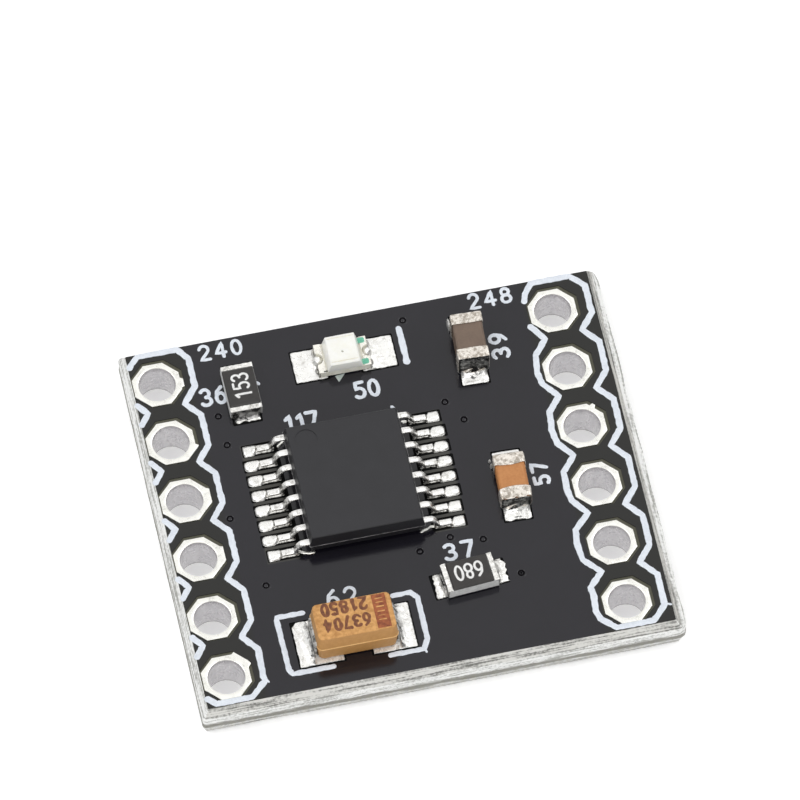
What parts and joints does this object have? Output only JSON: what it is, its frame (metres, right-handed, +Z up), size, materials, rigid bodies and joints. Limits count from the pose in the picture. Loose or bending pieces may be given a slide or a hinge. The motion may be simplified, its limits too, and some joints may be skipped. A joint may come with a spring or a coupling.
{
  "type": "dc motor driver module",
  "caption": "Small black circuit board for driving direct-current motors: a driver chip, capacitors, resistors and a lamp between columns of plated pin header holes.",
  "frame": {"origin": "centre of the board's underside, in the middle of its snapped outline", "axes": "+Z up out of the component side; +X across the columns of holes, from the tantalum capacitor's side of the board to the ceramic capacitors' side; +Y along the columns, from the tantalum capacitor to the lamp"},
  "size_m": [0.0184, 0.0158, 0.0031],
  "materials": {
    "solder_mask": "black solder mask over glass-fibre laminate, satin",
    "tinned_copper": "copper with a bright uneven coat of tin",
    "lead_plating": "tin plating, satin",
    "chip_epoxy": "black moulded epoxy, matte",
    "brown_ceramic": "fired brown ceramic, satin",
    "orange_ceramic": "fired orange ceramic, satin",
    "end_metal": "dipped and tinned ends with their solder, uneven",
    "resistor_alumina": "white alumina, matte",
    "resistor_glaze": "black glass glaze, satin",
    "tantalum_epoxy": "ochre moulded epoxy with a red-brown end stripe",
    "lamp_base": "cream laminate",
    "lamp_resin": "clouded cream resin",
    "lamp_plating": "thin warm-toned plating",
    "lamp_die": "small dark crystal"
  },
  "bodies": {
    "root": {"circuit_board": "solder_mask", "plated_hole_left_1": "tinned_copper", "plated_hole_left_2": "tinned_copper", "plated_hole_left_3": "tinned_copper", "plated_hole_left_4": "tinned_copper", "plated_hole_left_5": "tinned_copper", "plated_hole_left_6": "tinned_copper", "plated_hole_right_1": "tinned_copper", "plated_hole_right_2": "tinned_copper", "plated_hole_right_3": "tinned_copper", "plated_hole_right_4": "tinned_copper", "plated_hole_right_5": "tinned_copper", "plated_hole_right_6": "tinned_copper", "driver_chip_case": "chip_epoxy", "driver_chip_lead_01": "lead_plating", "driver_chip_lead_02": "lead_plating", "driver_chip_lead_03": "lead_plating", "driver_chip_lead_04": "lead_plating", "driver_chip_lead_05": "lead_plating", "driver_chip_lead_06": "lead_plating", "driver_chip_lead_07": "lead_plating", "driver_chip_lead_08": "lead_plating", "driver_chip_lead_09": "lead_plating", "driver_chip_lead_10": "lead_plating", "driver_chip_lead_11": "lead_plating", "driver_chip_lead_12": "lead_plating", "driver_chip_lead_13": "lead_plating", "driver_chip_lead_14": "lead_plating", "driver_chip_lead_15": "lead_plating", "driver_chip_lead_16": "lead_plating", "tall_ceramic_body": "brown_ceramic", "tall_ceramic_joint_back": "end_metal", "tall_ceramic_joint_front": "end_metal", "low_ceramic_body": "orange_ceramic", "low_ceramic_joint_back": "end_metal", "low_ceramic_joint_front": "end_metal", "back_resistor_base": "resistor_alumina", "back_resistor_glaze": "resistor_glaze", "back_resistor_joint_back": "end_metal", "back_resistor_joint_front": "end_metal", "front_resistor_base": "resistor_alumina", "front_resistor_glaze": "resistor_glaze", "front_resistor_joint_left": "end_metal", "front_resistor_joint_right": "end_metal", "tantalum_case": "tantalum_epoxy", "tantalum_terminal_left": "lead_plating", "tantalum_land_left": "tinned_copper", "tantalum_terminal_right": "lead_plating", "tantalum_land_right": "tinned_copper", "led_base": "lamp_base", "led_lens": "lamp_resin", "led_die": "lamp_die", "led_terminal_left": "lamp_plating", "led_land_left": "tinned_copper", "led_terminal_right": "lamp_plating", "led_land_right": "tinned_copper"}
  },
  "joints": []
}
